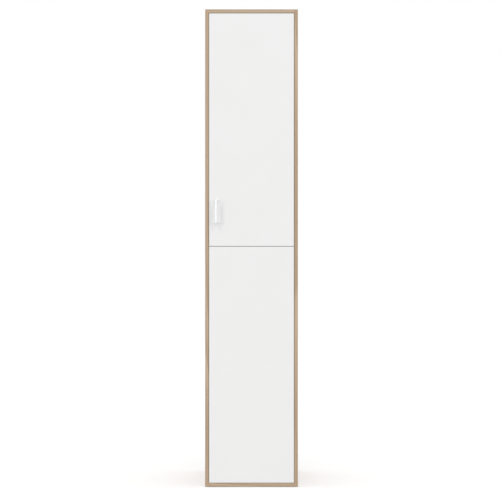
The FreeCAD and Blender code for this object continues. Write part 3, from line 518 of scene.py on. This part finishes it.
def addScrew(bm, screw, profile):
    radius, height = screw["radius"], screw["headHeight"]
    turn = screw["outward"].to_track_quat("Z", "Y").to_matrix().to_4x4()
    place = Matrix.Translation(screw["top"]) @ turn
    rings = []
    for share, level in profile:
        made = bmesh.ops.create_circle(bm, segments=screwHead["sides"], radius=share * radius,
                                       matrix=place @ Matrix.Translation((0, 0, level * height)))
        rings.append(made["verts"])

    def edgesOf(verts):
        found = set(verts)
        edges = [edge for vert in verts for edge in vert.link_edges if edge.other_vert(vert) in found]
        return list(dict.fromkeys(edges))

    for lower, upper in zip(rings, rings[1:]):
        bmesh.ops.bridge_loops(bm, edges=edgesOf(lower) + edgesOf(upper))
    arm, half = screwHead["crossArm"] * radius, screwHead["crossWidth"] * radius / 2
    quarter = [(half, half), (half, arm), (-half, arm)]
    outline = []
    for corner in range(4):
        spin = Matrix.Rotation(corner * math.pi / 2, 4, "Z")
        outline += [bm.verts.new(place @ spin @ Vector((x, y, 0))) for x, y in quarter]
    cross = bm.faces.new(outline)
    bmesh.ops.bridge_loops(bm, edges=edgesOf(rings[-1]) + list(cross.edges))
    sunk = bmesh.ops.extrude_discrete_faces(bm, faces=[cross])["faces"][0]
    depth = screwHead["crossDepth"] * min(height, radius)
    bmesh.ops.translate(bm, verts=sunk.verts, vec=-depth * screw["outward"])
    centre = sunk.calc_center_median()
    bmesh.ops.scale(bm, verts=sunk.verts, vec=(screwHead["crossTaper"],) * 3,
                    space=Matrix.Translation(-centre))
    foot = bm.faces.new(rings[0])
    if screw["length"] > height + screwHead["leastShank"]:
        foot.normal_update()  # a new face has no normal yet, and the inset needs one
        bmesh.ops.inset_individual(bm, faces=[foot], thickness=radius - screw["shank"])
        down = bmesh.ops.extrude_discrete_faces(bm, faces=[foot])["faces"][0]
        bmesh.ops.translate(bm, verts=down.verts, vec=-(screw["length"] - height) * screw["outward"])


screwBodies = {
    "hinge_screws": "carcass",
    "fitting_screws": "carcass",
    "handle_screws": "upper_door",
    "upper_cup_screws": "upper_door",
    "lower_cup_screws": "lower_door",
}
for node, body in screwBodies.items():
    bm = bmesh.new()
    for points in solidsOf(node):
        addScrew(bm, readTurned(points), screwHead["pan"])
    finishPiece(bm, "crossHead_" + node, body, "zinc_plated_steel", node)
upright = 2  # a cam is shorter than it is wide, so its axis is given
bm = bmesh.new()
for points in solidsOf("cam_locks"):
    addScrew(bm, readTurned(points, upright), screwHead["flat"])
finishPiece(bm, "cams", "carcass", "die_cast_zinc", "cam_locks")
print("screws and cams given their heads")


# Shelf pins and the plunger of the push latch: turned rods with broken or rounded rims
shelfPin = {"sides": 24, "chamfer": 0.6 * mm, "chamferSteps": 1}
latchPlunger = {
    "sides": 40,
    "tipRound": 1.4 * mm,
    "tipSteps": 4,
    "magnetDiameter": 5.6 * mm,
    "magnetDepth": 1.5 * mm,
    "magnetRim": 0.3 * mm,
    "magnetRimSteps": 2,
}


def addRod(bm, low, high, axis, sides):
    size = high - low
    along = "XY".index(axis)
    radius = size[along + 1] / 2
    place = Matrix.Translation((low + high) / 2) @ Matrix.Rotation(math.pi / 2, 4, "YX"[along])
    made = bmesh.ops.create_cone(bm, cap_ends=True, segments=sides, radius1=radius, radius2=radius,
                                 depth=size[along], matrix=place)["verts"]
    caps = [face for vert in made for face in vert.link_faces if len(face.verts) == sides]
    return list(dict.fromkeys(caps))


def breakRims(bm, caps, width, steps):
    rims = [edge for cap in caps for edge in cap.edges]
    bmesh.ops.bevel(bm, geom=rims, offset=width, offset_type="OFFSET", affect="EDGES", segments=steps,
                    profile=0.5, material=-1)


def makeShelfPins():
    bm = bmesh.new()
    ends = []
    for points in solidsOf("shelf_pins"):
        low, high = cornersOf(points)
        ends += addRod(bm, low, high, "X", shelfPin["sides"])
    breakRims(bm, ends, shelfPin["chamfer"], shelfPin["chamferSteps"])
    finishPiece(bm, "shelfPins", "carcass", "zinc_plated_steel", "shelf_pins")


def makeLatchPlunger():
    plunger = latchPlunger
    low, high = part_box("latch_plunger")
    magnetRadius = plunger["magnetDiameter"] / 2

    def frontOf(caps):
        return min(caps, key=lambda cap: cap.calc_center_median().y)

    bm = bmesh.new()
    tip = frontOf(addRod(bm, low, high, "Y", plunger["sides"]))
    breakRims(bm, [tip], plunger["tipRound"], plunger["tipSteps"])
    tip = frontOf([face for face in bm.faces if len(face.verts) == plunger["sides"]])
    tipRadius = (high.x - low.x) / 2 - plunger["tipRound"]
    bmesh.ops.inset_individual(bm, faces=[tip], thickness=tipRadius - magnetRadius)
    pocket = bmesh.ops.extrude_discrete_faces(bm, faces=[tip])["faces"][0]
    bmesh.ops.translate(bm, verts=pocket.verts, vec=(0, plunger["magnetDepth"], 0))
    finishPiece(bm, "latchPlunger", "latch_plunger", "grey_plastic", "latch_plunger")

    middle = (low + high) / 2
    magnetLow = Vector((middle.x - magnetRadius, low.y, middle.z - magnetRadius))
    magnetHigh = Vector((middle.x + magnetRadius, low.y + plunger["magnetDepth"], middle.z + magnetRadius))
    bm = bmesh.new()
    discs = addRod(bm, magnetLow, magnetHigh, "Y", plunger["sides"])
    breakRims(bm, discs, plunger["magnetRim"], plunger["magnetRimSteps"])
    finishPiece(bm, "plungerMagnet", "latch_plunger", "nickel_plated_steel", None)


makeShelfPins()
makeLatchPlunger()
print("shelf pins and latch plunger turned")


# Floor, light and camera

studio = {
    "floorSize": 16.0,
    "floorWhite": 0.8,
    # how much of each colour's lost light shows: less for blue, because light off the oak is warm
    "shadowShare": (1.24, 1.13, 1.04),
    "floorLevel": 1.085,  # just over white, so that only the deeper shadow by the base shows
    "ambient": 0.77,
}
# Two tall softboxes, left and right of the camera, each as a low and a high lamp far away:
# share is a lamp's part of the light on a front that faces the camera
softboxes = {
    "leftLow": {"azimuth": -49, "elevation": 10, "spread": 10, "share": 0.08},
    "leftHigh": {"azimuth": -40, "elevation": 48, "spread": 16, "share": 0.08},
    "rightLow": {"azimuth": 47, "elevation": 10, "spread": 10, "share": 0.07},
    "rightHigh": {"azimuth": 38, "elevation": 48, "spread": 16, "share": 0.07},
}


def emptyTree(holder):
    holder.use_nodes = True
    holder.node_tree.nodes.clear()
    return holder.node_tree


def seenDirectly(tree):
    path = addNode(tree, "LightPath").outputs
    straight = addNode(tree, "Math", {
        0: path["Is Camera Ray"], 1: path["Is Glossy Ray"]}, operation="MAXIMUM").outputs[0]
    return addNode(tree, "Math", {
        0: straight, 1: path["Is Transmission Ray"]}, operation="MAXIMUM").outputs[0]


def makeFloor():
    bm = bmesh.new()
    bmesh.ops.create_grid(bm, x_segments=1, y_segments=1, size=studio["floorSize"] / 2)
    floor = addObject("floor", meshFrom(bm, "floor"))
    material = bpy.data.materials.new("pale studio floor")
    tree = emptyTree(material)
    white, share = studio["floorWhite"], studio["shadowShare"]
    unlit = [studio["floorLevel"] - studio["ambient"] * part for part in share]
    bounce = addNode(tree, "BsdfDiffuse", {"Color": (white, white, white, 1)}).outputs[0]
    shadowed = addNode(tree, "BsdfDiffuse", {"Color": (*share, 1)}).outputs[0]
    glow = addNode(tree, "Emission", {"Color": (*unlit, 1)}).outputs[0]
    shown = addNode(tree, "AddShader", {0: shadowed, 1: glow}).outputs[0]
    surface = addNode(tree, "MixShader", {0: seenDirectly(tree), 1: bounce, 2: shown}).outputs[0]
    addNode(tree, "OutputMaterial", {"Surface": surface})
    floor.data.materials.append(material)
    return floor


def makeWorld():
    world = bpy.data.worlds.new("white studio")
    bpy.context.scene.world = world
    tree = emptyTree(world)
    ambient = addNode(tree, "Background", {"Color": (1, 1, 1, 1), "Strength": studio["ambient"]}).outputs[0]
    backdrop = addNode(tree, "Background", {"Color": (1, 1, 1, 1), "Strength": 1}).outputs[0]
    surface = addNode(tree, "MixShader", {0: seenDirectly(tree), 1: ambient, 2: backdrop}).outputs[0]
    addNode(tree, "OutputWorld", {"Surface": surface})


def makeSoftboxes(floor):
    # the lamps leave the floor alone, so it keeps only the soft shadow of the light all around
    unlit = bpy.data.collections.new("unlitByLamps")
    unlit.objects.link(floor)
    unlit.collection_objects[0].light_linking.link_state = "EXCLUDE"
    for name, box in softboxes.items():
        azimuth, elevation = math.radians(box["azimuth"]), math.radians(box["elevation"])
        aim = Vector((math.sin(azimuth) * math.cos(elevation), -math.cos(azimuth) * math.cos(elevation),
                      math.sin(elevation)))
        light = bpy.data.lights.new(name, "SUN")
        light.angle = math.radians(box["spread"])
        light.energy = box["share"] * math.pi / -aim.y
        lamp = addObject(name, light)
        lamp.rotation_euler = aim.to_track_quat("Z", "Y").to_euler()
        lamp.light_linking.receiver_collection = unlit


# The photograph is square on, with the cabinet 477.4 pixels tall and its middle a little off the frame's
photoView = {
    "framePixels": 500,
    "cabinetPixels": 477.43,
    "middle": (251.51, 248.05),
    "distance": 5.0,
    "sensor": 36.0,
}


def makeCamera():
    view = photoView
    low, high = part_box("left_side_band")
    metresPerPixel = (high.z - low.z) / view["cabinetPixels"]
    half = view["framePixels"] / 2
    data = bpy.data.cameras.new("photoCamera")
    data.sensor_width = view["sensor"]
    data.lens = view["sensor"] / 2 * view["distance"] / (half * metresPerPixel)
    camera = addObject("photoCamera", data)
    camera.location = ((half - view["middle"][0]) * metresPerPixel, low.y - view["distance"],
                       (low.z + high.z) / 2 - (half - view["middle"][1]) * metresPerPixel)
    camera.rotation_euler = (math.pi / 2, 0, 0)
    bpy.context.scene.camera = camera


makeWorld()
makeSoftboxes(makeFloor())
makeCamera()
bpy.context.scene.view_settings.view_transform = "Standard"
print("studio set up")
